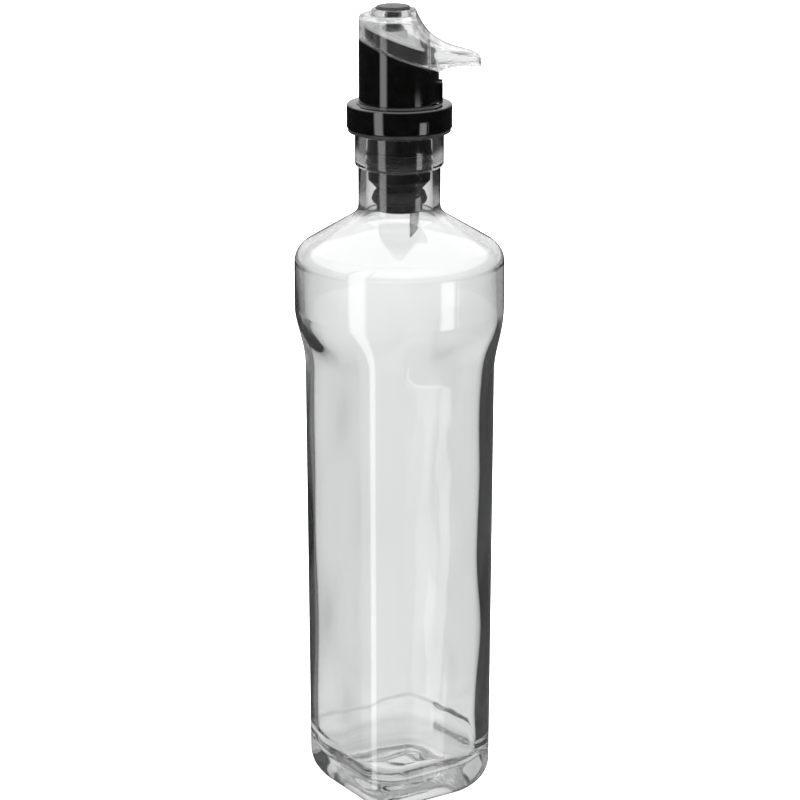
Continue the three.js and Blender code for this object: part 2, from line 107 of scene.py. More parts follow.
def mesh_object(name, points, faces, sharp_angle=40):
    """A smooth-shaded object from points in millimetres."""
    mesh = bpy.data.meshes.new(name)
    mesh.from_pydata((np.asarray(points) * MM).tolist(), [], faces)
    clean = bmesh.new()
    clean.from_mesh(mesh)
    bmesh.ops.remove_doubles(clean, verts=clean.verts, dist=1e-7)
    bmesh.ops.dissolve_degenerate(clean, edges=clean.edges, dist=1e-8)
    bmesh.ops.recalc_face_normals(clean, faces=clean.faces)
    clean.to_mesh(mesh)
    clean.free()
    mesh.shade_smooth()
    mesh.set_sharp_from_angle(angle=math.radians(sharp_angle))
    piece = bpy.data.objects.new(name, mesh)
    bpy.context.scene.collection.objects.link(piece)
    return piece


def arc(radius, z, size, start, stop, steps):
    """Points of a circular arc in a profile, angles in degrees, ends included."""
    angles = np.radians(np.linspace(start, stop, steps + 1))
    return [(radius + size * math.cos(a), z + size * math.sin(a)) for a in angles]


def rounded(corners, steps=5):
    """A closed outline with each corner (r, z, fillet) rounded by its fillet radius."""
    outline = []
    for i, (x, z, size) in enumerate(corners):
        here = Vector((x, z))
        before = Vector(corners[i - 1][:2]) - here
        after = Vector(corners[(i + 1) % len(corners)][:2]) - here
        if size == 0:
            outline.append((x, z))
            continue
        half = before.angle(after) / 2
        reach = size / math.tan(half)
        middle = (before.normalized() + after.normalized()).normalized()
        centre = here + middle * (size / math.sin(half))
        first = here + before.normalized() * reach - centre
        turn = first.angle_signed(here + after.normalized() * reach - centre)
        for k in range(steps + 1):
            angle = -turn * k / steps
            c, s = math.cos(angle), math.sin(angle)
            turned_x = first.x * c - first.y * s
            turned_y = first.x * s + first.y * c
            outline.append((centre.x + turned_x, centre.y + turned_y))
    return outline


def turned(name, outline, x=0.0, steps=128):
    """A closed outline turned about an upright axis at x."""
    angles = np.arange(steps) * 2 * math.pi / steps
    radii = np.array([p[0] for p in outline])
    heights = np.array([p[1] for p in outline])
    points = np.stack([
        x + np.outer(np.cos(angles), radii),
        np.outer(np.sin(angles), radii),
        np.broadcast_to(heights, (steps, len(outline))),
    ], axis=-1).reshape(-1, 3)
    count = len(outline)
    faces = []
    for i in range(steps):
        for j in range(count):
            k = (j + 1) % count
            if radii[j] == 0 and radii[k] == 0:
                continue
            n = (i + 1) % steps
            faces.append((i * count + j, n * count + j, n * count + k, i * count + k))
    return mesh_object(name, points, faces)


def ring(name, inner, outer, low, top, fillet=0.2, x=0.0, steps=96):
    """A turned ring of rectangular section with rounded edges."""
    corners = [(inner, low, fillet), (outer, low, fillet), (outer, top, fillet), (inner, top, fillet)]
    return turned(name, rounded(corners), x, steps)


# ---------- solids from distance fields ----------

def meet(a, b, fillet):
    """The intersection of two fields, its edge rounded."""
    corner = np.hypot(np.maximum(fillet + a, 0), np.maximum(fillet + b, 0))
    return np.minimum(-fillet, np.maximum(a, b)) + corner


def join(a, b, fillet):
    """The union of two fields, its inner corner filled."""
    return -meet(-a, -b, fillet)


def cut(a, b, fillet):
    """The first field without the second, its edge rounded."""
    return meet(a, -b, fillet)


def tube_field(x, y, radius, centre=0.0):
    return np.hypot(x - centre, y) - radius


def slab_field(z, low, top):
    return np.maximum(low - z, z - top)


def box_field(x, y, z, low, high):
    """The distance to a box given by its lowest and highest corners."""
    gaps = []
    for value, a, b in zip((x, y, z), low, high):
        gaps.append(np.abs(value - (a + b) / 2) - (b - a) / 2)
    outside = np.sqrt(sum(np.maximum(gap, 0) ** 2 for gap in gaps))
    return outside + np.minimum(np.maximum.reduce(gaps), 0)


def cut_plane(x, z, lift=0.0):
    """The distance above the sleeve's oblique edge, lifted by a length."""
    return (z - CUT_MID_Z - lift + x * CUT_SLOPE) / math.hypot(1, CUT_SLOPE)


def field_mesh(name, field, low, high, step=0.3, sharp_angle=180):
    """The surface where a distance field is zero, as one quad mesh."""
    axes = [np.arange(a, b + step, step) for a, b in zip(low, high)]
    grid = np.meshgrid(*axes, indexing="ij")
    values = field(*grid)
    shape = np.array(values.shape)
    strides = np.array([shape[1] * shape[2], shape[2], 1])
    ids, spots, quads = [], [], []
    for axis in range(3):
        start = np.take(values, range(shape[axis] - 1), axis)
        stop = np.take(values, range(1, shape[axis]), axis)
        index = np.argwhere((start < 0) != (stop < 0))
        first = start[tuple(index.T)]
        second = stop[tuple(index.T)]
        spot = index.astype(float)
        spot[:, axis] += first / (first - second)
        other = [k for k in range(3) if k != axis]
        around = []
        for da, db in ((0, 0), (1, 0), (1, 1), (0, 1)):
            cell = index.copy()
            cell[:, other[0]] -= da
            cell[:, other[1]] -= db
            around.append(cell @ strides)
        quads.append(np.stack(around, 1))
        ids.append(np.concatenate(around))
        spots.append(np.tile(spot, (4, 1)))
    cells, inverse = np.unique(np.concatenate(ids), return_inverse=True)
    spots = np.concatenate(spots)
    counts = np.bincount(inverse)
    points = np.stack([np.bincount(inverse, spots[:, k]) / counts for k in range(3)], 1)
    points = points * step + np.array(low)
    faces = np.searchsorted(cells, np.concatenate(quads))
    for _ in range(4):
        points -= field_step(field, points)
    return mesh_object(name, points, faces.tolist(), sharp_angle)


def field_step(field, points, reach=0.02):
    """The move that takes each point onto the field's zero surface."""
    value = field(*points.T)
    slope = np.stack([
        (field(*(points + shift).T) - field(*(points - shift).T)) / (2 * reach)
        for shift in np.eye(3) * reach
    ], 1)
    size = np.maximum((slope ** 2).sum(1), 0.2)
    return slope * np.clip(value / size, -0.1, 0.1)[:, None]


def smooth_line(knots, x):
    """A smooth curve through a few knots, read at x."""
    px = np.array([k[0] for k in knots], float)
    pz = np.array([k[1] for k in knots], float)
    slope = np.gradient(pz, px)
    i = np.clip(np.searchsorted(px, x) - 1, 0, len(px) - 2)
    width = px[i + 1] - px[i]
    t = np.clip((x - px[i]) / width, 0, 1)
    a, b = pz[i], pz[i + 1]
    curve = ((2 * t - 3) * t * t + 1) * a + (3 - 2 * t) * t * t * b
    curve += (((t - 2) * t + 1) * slope[i] + (t - 1) * t * slope[i + 1]) * t * width
    beyond = np.minimum(x - px[0], 0) * slope[0] + np.maximum(x - px[-1], 0) * slope[-1]
    return curve + beyond


# ---------- shader graphs ----------

def axes(tree, coordinate="Object"):
    """The separate X, Y and Z of a texture coordinate."""
    place = tree.nodes.new("ShaderNodeTexCoord")
    split = tree.nodes.new("ShaderNodeSeparateXYZ")
    tree.links.new(place.outputs[coordinate], split.inputs["Vector"])
    return split.outputs


def calculate(tree, operation, *values):
    """A math node fed with sockets or numbers."""
    node = tree.nodes.new("ShaderNodeMath")
    node.operation = operation
    for socket, value in zip(node.inputs, values):
        if isinstance(value, (int, float)):
            socket.default_value = value
        else:
            tree.links.new(value, socket)
    return node.outputs["Value"]


def rescale(tree, value, start, stop, low, high, interpolation="LINEAR"):
    """Maps a value between start and stop to the range from low to high."""
    node = tree.nodes.new("ShaderNodeMapRange")
    node.interpolation_type = interpolation
    node.inputs["From Min"].default_value = start
    node.inputs["From Max"].default_value = stop
    node.inputs["To Min"].default_value = low
    node.inputs["To Max"].default_value = high
    tree.links.new(value, node.inputs["Value"])
    return node.outputs["Result"]


def grey_ramp(tree, value, stops):
    """A ramp through grey levels, each at its position from 0 to 1."""
    node = tree.nodes.new("ShaderNodeValToRGB")
    elements = node.color_ramp.elements
    while len(elements) < len(stops):
        elements.new(0.5)
    for element, (position, level) in zip(elements, stops):
        element.position = position
        element.color = (level, level, level, 1)
    tree.links.new(value, node.inputs["Fac"])
    return node.outputs["Color"]


# ---------- materials ----------

def new_material(name, **sockets):
    """A principled material with constant values on its own sockets."""
    material = bpy.data.materials.new(name)
    material.use_nodes = True
    shader = material.node_tree.nodes["Principled BSDF"]
    for key, value in sockets.items():
        shader.inputs[key.replace("_", " ")].default_value = value
    return material, shader


def object_noise(material, scale, detail=2.0, stretch=(1, 1, 1)):
    """Noise in the object's own metres, stretched along an axis."""
    tree = material.node_tree
    place = tree.nodes.new("ShaderNodeTexCoord")
    mapping = tree.nodes.new("ShaderNodeMapping")
    mapping.inputs["Scale"].default_value = stretch
    noise = tree.nodes.new("ShaderNodeTexNoise")
    noise.inputs["Scale"].default_value = scale
    noise.inputs["Detail"].default_value = detail
    tree.links.new(place.outputs["Object"], mapping.inputs["Vector"])
    tree.links.new(mapping.outputs["Vector"], noise.inputs["Vector"])
    return noise.outputs["Fac"]


def ramp(material, value, low, high, at=(0.35, 0.65)):
    """Maps a noise value to a range of colours or greys."""
    node = material.node_tree.nodes.new("ShaderNodeValToRGB")
    for element, place, colour in zip(node.color_ramp.elements, at, (low, high)):
        element.position = place
        element.color = colour if hasattr(colour, "__len__") else (colour, colour, colour, 1)
    material.node_tree.links.new(value, node.inputs["Fac"])
    return node.outputs["Color"]


def bump(material, shader, value, height, strength=1.0):
    """Bumps the surface by a noise value times a height in metres."""
    node = material.node_tree.nodes.new("ShaderNodeBump")
    node.inputs["Distance"].default_value = height
    node.inputs["Strength"].default_value = strength
    material.node_tree.links.new(value, node.inputs["Height"])
    material.node_tree.links.new(node.outputs["Normal"], shader.inputs["Normal"])


def clear_material(name, ior, tint, density, waviness, opacity):
    """Clear glass or plastic: absorption in its depth, a faint waviness and haze, and its opacity."""
    material, shader = new_material(
        name, Base_Color=(0.985, 0.99, 0.99, 1), Transmission_Weight=1.0, IOR=ior, Roughness=0.0)
    shader.inputs["Alpha"].default_value = opacity
    bump(material, shader, object_noise(material, 60, 2, (1, 1, 0.35)), waviness, 0.5)
    haze = ramp(material, object_noise(material, 900, 3), 0.0, 0.03, (0.5, 0.8))
    material.node_tree.links.new(haze, shader.inputs["Roughness"])
    depth = material.node_tree.nodes.new("ShaderNodeVolumeAbsorption")
    depth.inputs["Color"].default_value = tint
    depth.inputs["Density"].default_value = density
    output = material.node_tree.nodes["Material Output"]
    material.node_tree.links.new(depth.outputs["Volume"], output.inputs["Volume"])
    return material


def milky_material(name, colour, clear, rough):
    """Cloudy moulded plastic: light passes through it, scattered and slightly uneven."""
    material, shader = new_material(name, IOR=1.49, Transmission_Weight=clear, Roughness=rough)
    tone = ramp(material, object_noise(material, 260, 3), [c * 0.93 for c in colour] + [1], [*colour, 1])
    material.node_tree.links.new(tone, shader.inputs["Base Color"])
    bump(material, shader, object_noise(material, 700, 2), 0.00003, 0.4)
    return material


def moulded_material(name, dark, light, rough, grain_height, grain=2500, gloss_level=0.5):
    """Moulded plastic or rubber: uneven gloss, a faint mottle and a fine grain."""
    material, shader = new_material(name, IOR=1.5, Specular_IOR_Level=gloss_level)
    colour = ramp(material, object_noise(material, 220, 3), dark, light)
    gloss = ramp(material, object_noise(material, 140, 4, (1, 1, 0.4)), rough[0], rough[1])
    material.node_tree.links.new(colour, shader.inputs["Base Color"])
    material.node_tree.links.new(gloss, shader.inputs["Roughness"])
    bump(material, shader, object_noise(material, grain, 2), grain_height, 0.4)
    return material


def steel_material():
    """Drawn spring wire: fine lines along the coil and a slight unevenness."""
    material, shader = new_material("steel", Metallic=1.0)
    colour = ramp(material, object_noise(material, 500, 2), (0.55, 0.56, 0.57, 1), (0.8, 0.81, 0.82, 1))
    gloss = ramp(material, object_noise(material, 900, 2, (1, 1, 8)), 0.16, 0.34)
    material.node_tree.links.new(colour, shader.inputs["Base Color"])
    material.node_tree.links.new(gloss, shader.inputs["Roughness"])
    bump(material, shader, object_noise(material, 3000, 2, (1, 1, 6)), 0.00002, 0.5)
    return material


MATERIALS = {
    "glass": clear_material("bottle_glass", 1.52, (0.86, 0.87, 0.87, 1), 8.0, 0.00012, 0.96),
    "clear_plastic": clear_material("clear_plastic", 1.49, (0.86, 0.87, 0.87, 1), 8.0, 0.00004, 0.85),
    "black_plastic": moulded_material("black_plastic", (0.0006, 0.0006, 0.0006, 1),
                                      (0.0015, 0.0015, 0.0016, 1), (0.03, 0.08), 0.000002),
    "matt_plastic": moulded_material("matt_plastic", (0.003, 0.003, 0.0032, 1), (0.006, 0.006, 0.0064, 1),
                                     (0.42, 0.55), 0.00002),
    "plug_plastic": moulded_material("plug_plastic", (0.002, 0.002, 0.0022, 1), (0.006, 0.006, 0.0065, 1),
                                     (0.22, 0.38), 0.00003, gloss_level=0.25),
    "seal": moulded_material("seal_rubber", (0.010, 0.010, 0.011, 1), (0.022, 0.022, 0.023, 1),
                             (0.40, 0.60), 0.00004, 1800, 0.25),
    "clear_seal": moulded_material("pale_seal", (0.55, 0.57, 0.56, 1), (0.70, 0.72, 0.71, 1),
                                   (0.35, 0.50), 0.00003, 1800),
    "milky_plastic": milky_material("milky_plastic", (0.93, 0.93, 0.93), 0.35, 0.22),
    "tube_plastic": milky_material("tube_plastic", (0.74, 0.75, 0.75), 0.8, 0.12),
    "steel": steel_material(),
}


def finish_piece(piece, body, slot, *nodes):
    """Gives a new piece the material named by its slot, parents it to its body and hides the CAD nodes that
    it stands for.
    """
    piece.data.materials.append(MATERIALS[slot])
    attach(piece, body)
    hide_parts(*nodes)
    return piece


# ---------- glass bottle ----------

def rounded_square(angle):
    """The distance from the axis to a rounded square with flats at distance 1."""
    c, s = np.abs(np.cos(angle)), np.abs(np.sin(angle))
    major, minor = np.maximum(c, s), np.minimum(c, s)
    straight = 1 - CORNER_SHARE
    under = np.maximum(CORNER_SHARE ** 2 - (straight * (major - minor)) ** 2, 0)
    corner = straight * (major + minor) + np.sqrt(under)
    return np.where(minor / major <= straight, 1 / major, corner)


def roundness(z):
    """0 where the section is square, 1 where it is round, easing in and out."""
    share = np.clip((z - SQUARE_TOP_Z) / (SHOULDER_LOW_Z - SQUARE_TOP_Z), 0, 1)
    return 1 - (1 - share ** SWELL_START) ** SWELL_END


def swelling(inset, steps=60):
    """The stretch where the square section swells into the round shoulder."""
    heights = np.linspace(SQUARE_TOP_Z, SHOULDER_LOW_Z, steps + 1)
    return [(FLAT_HIGH + (SHOULDER_R - FLAT_HIGH) * roundness(z) - inset, z) for z in heights]


def shoulder(inset, neck, fillet):
    """The shoulder's edge, its slope and the fillet into the neck."""
    slope = math.degrees(SHOULDER_SLOPE)
    edge = arc(SHOULDER_R - SHOULDER_EDGE_R, SHOULDER_EDGE_Z, SHOULDER_EDGE_R - inset, 0, 90 - slope, 16)
    meet_z = edge[-1][1] + (edge[-1][0] - neck) * math.tan(SHOULDER_SLOPE)
    reach = fillet * math.tan((math.pi / 2 - SHOULDER_SLOPE) / 2)
    return edge + arc(neck + fillet, meet_z + reach, fillet, 270 - slope, 180, 12)


def heel(steps=24):
    angles = np.linspace(0, math.pi / 2, steps + 1)
    insets = (FLAT_LOW - BASE_FLAT) * (1 - np.sin(angles) ** HEEL_POWER)
    return list(zip(FLAT_LOW - insets, HEEL_Z * (1 - np.cos(angles))))


def push_up_z(radius):
    """The height of the foot's hollow underside, with the dimple at its centre."""
    hollow = PUSH_UP * math.cos(math.pi / 2 * (radius / BEARING_INNER) ** 2.2)
    return hollow - DIMPLE * math.exp(-(radius / 2.2) ** 2)


def glass_profile():
    """The outside from the foot's centre to the lip, then the inside back to the floor's centre."""
    push_up = [(r, push_up_z(r)) for r in np.linspace(0, BEARING_INNER, 30)]
    finish = [(NECK_R, FINISH_LOW_Z - 0.4)]
    finish += arc(FINISH_R - 1.5, FINISH_LOW_Z + 1.7, 1.5, -80, 0, 8)
    finish += arc(FINISH_R - 0.9, LIP_Z - 0.9, 0.9, 0, 90, 6)
    finish += arc(BORE_R + 0.8, LIP_Z - 0.8, 0.8, 90, 180, 6)
    side = FLAT_LOW - WALL
    heights = np.linspace(SQUARE_TOP_Z, RIPPLE_TOP_Z, 41)[1:-1]
    wall = [(np.interp(z, (RIPPLE_TOP_Z, SQUARE_TOP_Z), (side, FLAT_HIGH - WALL)), z) for z in heights]
    floor = [(side, z) for z in np.linspace(RIPPLE_TOP_Z, FLOOR_Z + INNER_HEEL_R + 0.2, 46)]
    floor += arc(side - INNER_HEEL_R, FLOOR_Z + INNER_HEEL_R, INNER_HEEL_R, 0, -90, 20)
    floor += [(r, FLOOR_Z + 1.2 * math.cos(math.pi / 2 * r / 15) ** 2) for r in np.linspace(15, 0, 16)]
    inside = shoulder(WALL, BORE_R, NECK_FILLET_R + 2)[::-1] + swelling(WALL)[::-1]
    outside = push_up + heel()[1:] + swelling(0) + shoulder(0, NECK_R, NECK_FILLET_R)
    return outside + finish + inside + wall + floor


def glass_bottle():
    piece = turned("glass_bottle_body", glass_profile(), steps=480)
    count = len(piece.data.vertices)
    points = np.empty(count * 3)
    piece.data.vertices.foreach_get("co", points)
    points = points.reshape(-1, 3) / MM
    radius = np.hypot(points[:, 0], points[:, 1])
    angle = np.arctan2(points[:, 1], points[:, 0]) - SQUARE_TURN
    grow = rounded_square(angle) + (1 - rounded_square(angle)) * roundness(points[:, 2])
    wave = np.sin(3 * angle + points[:, 2] / 17) + 0.6 * np.sin(5 * angle - points[:, 2] / 9)
    shift = ripple(radius, points) + inner_share(radius, points[:, 2]) * WAVE * wave
    grow *= 1 + shift / np.maximum(radius, 10)
    points[:, 0] *= grow
    points[:, 1] *= grow
    points[:, 2] += knurl(radius, points[:, 2], angle)
    piece.data.vertices.foreach_set("co", (points * MM).ravel())
    piece.data.update()
    return finish_piece(piece, "bottle", "glass", "glass_bottle")


def inner_share(radius, z):
    """1 on the inner wall below the shoulder, fading to 0 at the floor, the shoulder and on the outside."""
    outer = FLAT_LOW + (SHOULDER_R - FLAT_LOW) * roundness(z)
    fade = np.clip((196 - z) / 20, 0, 1) * np.clip((z - FLOOR_Z) / 20, 0, 1)
    return (radius < outer - WALL / 2) * fade


def knurl(radius, z, angle):
    """Short radial ticks pressed into the foot, just outside the bearing ring."""
    band = np.exp(-((radius - KNURL_R) / 1.2) ** 2) * (z < 4)
    return band * KNURL_DEPTH * (0.5 + 0.5 * np.cos(angle * KNURL_TICKS))


def ripple(radius, points):
    """The wavy ridge where the inner wall runs into the thick foot, strongest at the back."""
    around = np.arctan2(points[:, 1], points[:, 0])
    height = RIPPLE_Z + 2.0 * np.sin(around) + 0.6 * np.sin(5 * around) + 0.3 * np.sin(11 * around)
    back = np.clip(0.45 + 0.8 * np.sin(around), 0, 1)
    inside = (radius < FLAT_LOW - WALL / 2) * (points[:, 2] > FLOOR_Z + 2)
    return -RIPPLE * inside * back * np.exp(-((points[:, 2] - height) / 1.2) ** 2)


# ---------- pieces that close the neck ----------

def collar_pieces():
    """The soft gasket on the bottle's lip and the black collar over it."""
    gasket = ring("lip_gasket", COLLAR_BORE_R, GASKET_R, LIP_Z + CONTACT, COLLAR_LOW_Z - CONTACT, 0.25)
    finish_piece(gasket, "pourer", "seal", "collar_gasket")
    corners = [
        (COLLAR_BORE_R, COLLAR_LOW_Z, 0.2), (COLLAR_R, COLLAR_LOW_Z, 0.45), (COLLAR_R, COLLAR_TOP_Z, 0.7),
        (15.3, COLLAR_TOP_Z, 0.12), (15.2, COLLAR_TOP_Z + 0.5, 0.2),
        (SLEEVE_R + 0.1, COLLAR_TOP_Z + 0.5, 0.1), (SLEEVE_R + 0.1, COLLAR_TOP_Z - 0.2, 0),
        (COLLAR_BORE_R, COLLAR_TOP_Z - 0.2, 0),
    ]
    collar = turned("collar_ring", rounded(corners), steps=180)
    finish_piece(collar, "pourer", "black_plastic", "collar_flange")


def plug_outline():
    corners = [(0, NOSE_LOW_Z, 0), (NOSE_R, NOSE_LOW_Z, 0.7), (NOSE_R, 223.3, 0.2), (7.4, 223.3, 0),
               (7.4, 227.9, 0), (THROAT_R, 228.0, 0.3), (11.1, 231.7, 0.6)]
    for z in RING_GROOVES_Z:
        corners += [(PLUG_R, z - 0.6, 0.1), (10, z - 0.6, 0), (10, z + 0.6, 0), (PLUG_R, z + 0.6, 0.1)]
    return rounded(corners + [(PLUG_R + 0.1, PLUG_TOP_Z, 0.4), (0, PLUG_TOP_Z, 0)], 4)


def plug_pieces():
    """The plug, drilled for its vent tube, and its soft rings."""
    plug = turned("plug_core", plug_outline(), steps=128)
    bores = [
        (0, CHAMBER_R, CHAMBER_LOW_Z, PLUG_TOP_Z + 1),
        (STEM_X, FLOW_R, NOSE_LOW_Z - 1, CHAMBER_LOW_Z + 1),
        (VENT_X, VENT_R + 0.1, NOSE_LOW_Z - 1, CHAMBER_LOW_Z + 1),
    ]
    for x, radius, low, top in bores:
        drill = turned("drill", [(0, low), (radius, low), (radius, top), (0, top)], x, 96)
        subtract(plug, drill)
    plug.data.shade_smooth()
    plug.data.set_sharp_from_angle(angle=math.radians(35))
    finish_piece(plug, "pourer", "plug_plastic", "stopper_plug")
    for z, node in zip(RING_GROOVES_Z, ("lower_seal_ring", "upper_seal_ring")):
        corners = [(10.1, z - 0.5, 0), (BORE_R - CONTACT, z - 0.3, 0.2), (BORE_R - CONTACT, z + 0.3, 0.2),
                   (10.1, z + 0.5, 0)]
        finish_piece(turned(node + "_lip", rounded(corners)), "seals", "seal", node)
    nose = [(7.5, 223.45, 0), (9.35, 223.5, 0.5), (9.98, 224.9, 0.6), (9.2, 226.9, 0.8), (8.2, 227.8, 0.3),
            (7.5, 227.8, 0)]
    finish_piece(turned("nose_mushroom", rounded(nose)), "pourer", "seal", "nose_ring")


def subtract(piece, tool):
    """Cuts a tool out of a piece and removes the tool."""
    cutter = piece.modifiers.new("cut", "BOOLEAN")
    cutter.operation = "DIFFERENCE"
    cutter.solver = "EXACT"
    cutter.object = tool
    bpy.context.view_layer.update()
    graph = bpy.context.evaluated_depsgraph_get()
    mesh = bpy.data.meshes.new_from_object(piece.evaluated_get(graph))
    piece.modifiers.clear()
    piece.data = mesh
    bpy.data.objects.remove(tool)


def vent_tube():
    def field(x, y, z):
        tube = cut(tube_field(x, y, VENT_R, VENT_X), tube_field(x, y, VENT_BORE_R, VENT_X), 0.1)
        tip = VENT_LOW_Z - z + 1.3 * (x - VENT_X + VENT_R)
        return meet(tube, np.maximum(tip / math.hypot(1, 1.3), z - PLUG_TOP_Z), 0.1)
    low, high = (VENT_X - 2.5, -2.5, VENT_LOW_Z - 1), (VENT_X + 2.5, 2.5, PLUG_TOP_Z + 1)
    finish_piece(field_mesh("air_tube", field, low, high, 0.2, 60), "pourer", "tube_plastic", "vent_tube")


# ---------- pourer body ----------

def sleeve_field(x, y, z):
    """The black tube with its oblique edge, and the slot whose top corners are rounded."""
    shell = cut(tube_field(x, y, SLEEVE_R), tube_field(x, y, SLEEVE_BORE_R), 0.25)
    shell = meet(shell, COLLAR_TOP_Z - z, 0.15)
    slot_side = SLOT_HALF - np.abs(y)
    opening = np.where(x > 0, slot_side, -20.0)
    top = meet(cut_plane(x, z), opening, 3.2)
    return meet(shell, top, 0.25)


def latch_field(x, y, z):
    """The recessed panel in the slot with its window and two guide ribs."""
    shell = cut(tube_field(x, y, SLEEVE_R - 0.5), tube_field(x, y, SLEEVE_BORE_R), 0.15)
    side = np.where(x > 0, np.abs(y) - SLOT_HALF + 0.15, 20.0)
    panel = meet(meet(shell, side, 0.2), cut_plane(x, z, -0.3), 0.2)
    panel = cut(panel, box_field(x, y, z, (11, -2, 264.2), (16, 2, 290)), 0.15)
    rib = box_field(x, np.abs(y), z, (12.8, 2.4, COLLAR_TOP_Z), (15.0, 3.3, 266.3)) - 0.2
    panel = join(panel, np.maximum(rib, SLEEVE_BORE_R - np.hypot(x, y)), 0.15)
    return meet(panel, COLLAR_TOP_Z + 0.55 - z, 0.1)


# Knots (x, z) of the hood's top line from turret to spout, and of the spout's underside
SWEEP = [(4.6, 294.5), (5.6, 290.9), (7.5, 286.6), (9.75, 283.4), (13.1, 280.7), (16.9, 278.9),
         (20.1, 278.05), (23.4, 277.4), (26.7, 276.4), (30, 274.6)]
UNDERSIDE = [(14.3, 271.0), (16.9, 271.9), (20, 272.2), (24.9, 271.9), (30, 271.6)]


def sweep_height(x, z):
    """The distance above the hood's sweep from turret to spout."""
    height = smooth_line(SWEEP, x)
    slope = (smooth_line(SWEEP, x + 0.05) - smooth_line(SWEEP, x - 0.05)) / 0.1
    return (z - height) / np.hypot(1, slope)


def tongue_field(x, y, disc, tip, reach):
    """The distance in plan to a disc joined to a smaller tip by straight sides."""
    side = np.abs(y)
    lean = (disc - tip) / reach
    rise = math.sqrt(1 - lean * lean)
    along = x * rise - side * lean
    to_disc = np.hypot(x, side) - disc
    to_tip = np.hypot(x - reach, side) - tip
    to_side = x * lean + side * rise - disc
    return np.where(along < 0, to_disc, np.where(along > reach * rise, to_tip, to_side))


def hood_outside(x, y, z):
    plan = tongue_field(x, y, SLEEVE_R, TIP_R, TIP_X - TIP_R)
    roof = z - HOOD_ROOF_Z - 0.04 * np.minimum(x, 5)
    top = meet(sweep_height(x, z), roof, 0.5)
    under = smooth_line(UNDERSIDE, x) - z
    bottom = np.where(x < 14.3, -cut_plane(x, z, 0.12), under / 1.02)
    return meet(meet(plan, top, 1.3), bottom, 0.35)


def hood_field(x, y, z):
    """The clear hood: shell, turret, spout channel, outlet and hook in one moulding."""
    outside = hood_outside(x, y, z)
    turret = meet(tube_field(x, y, TURRET_R, STEM_X), slab_field(z, 287.4, TURRET_TOP_Z), 0.5)
    sweep = sweep_height(x, z)
    roof = z - HOOD_ROOF_Z + HOOD_WALL
    room = meet(meet(tube_field(x, y, SLEEVE_BORE_R), meet(sweep + HOOD_WALL, roof, 0.8), 0.8), 262 - z, 0.1)
    plan = tongue_field(x, y, SLEEVE_R - 4, 1.5, TIP_X - TIP_R - 0.7)
    channel = meet(meet(plan, sweep + HOOD_WALL + 0.2, 0.6), CHANNEL_Z - z, 0.5)
    outlet = meet(np.hypot(y, z - 274.0) - 0.9, 24 - x, 0.1)
    hollow = join(join(room, channel, 0.4), outlet, 0.2)
    shell = cut(outside, hollow, 0.2)
    shell = join(shell, turret, 0.5)
    shell = cut(shell, meet(tube_field(x, y, CUP_R, STEM_X), 287 - z, 0.1), 0.35)
    hook = box_field(x, y, z, (13.1, -1.5, 265), (13.9, 1.5, 273)) - 0.15
    barb = box_field(x, y, z, (13.1, -1.5, 265), (14.3, 1.5, 266)) - 0.15
    return join(shell, join(hook, barb, 0.3), 0.3)


def inner_body_field(x, y, z):
    """The black tube, cut oblique, with the tall wall and window that feed the spout."""
    tube = cut(tube_field(x, y, INNER_BODY_R), tube_field(x, y, INNER_BODY_BORE_R), 0.2)
    tube = meet(tube, PLUG_TOP_Z + 0.2 - z, 0.2)
    wall_top = meet(sweep_height(x, z) + HOOD_WALL + 0.1, TAB_X - x, 0.3)
    top = join(cut_plane(x, z, GUIDE_LIFT), wall_top, 0.2)
    window = np.hypot(np.maximum(np.abs(y) - 3, 0), z - 275.3) - 1.7
    window = np.where(x > 0, window, 20.0)
    return cut(meet(tube, top, 0.2), window, 0.2)


def guide_field(x, y, z):
    """The clear oblique plate with the boss round the stem."""
    lift = cut_plane(x, z, GUIDE_LIFT + 0.1)
    plate = meet(tube_field(x, y, INNER_BODY_R), np.maximum(-lift, lift - 1.1), 0.15)
    plate = meet(plate, x - TAB_X + 0.2, 0.15)
    boss = meet(tube_field(x, y, 5, STEM_X), slab_field(z, 281, 284.3), 0.25)
    bored = cut(join(plate, boss, 0.4), tube_field(x, y, STEM_R + 0.15, STEM_X), 0.1)
    return cut(bored, meet(tube_field(x, y, 4.05, STEM_X), 282.7 - z, 0.1), 0.1)


def pourer_pieces():
    """The black sleeve, latch and inner tube, the deck round the stem and the clear hood."""
    reach = SLEEVE_R + 1.5
    low, high = (-reach, -reach, 256), (reach, reach, 292)
    black = "black_plastic"
    pieces = [
        ("sleeve_shell", sleeve_field, low, high, 0.3, black, "pourer_sleeve"),
        ("latch_clip", latch_field, (8, -10, 257), (17, 10, 275), 0.22, black, "latch_panel"),
        ("inner_tube", inner_body_field, low, high, 0.3, black, "inner_body"),
        ("guide_deck", guide_field, (-13.5, -13.5, 275), (13.5, 13.5, 290), 0.25, "milky_plastic",
         "guide_plate"),
        ("clear_hood", hood_field, (-reach, -reach, 263), (30.5, reach, 295), 0.3, "clear_plastic",
         "spout_hood"),
    ]
    for name, field, start, stop, step, slot, node in pieces:
        finish_piece(field_mesh(name, field, start, stop, step), "pourer", slot, node)


# ---------- button, stem, spring and valve ----------

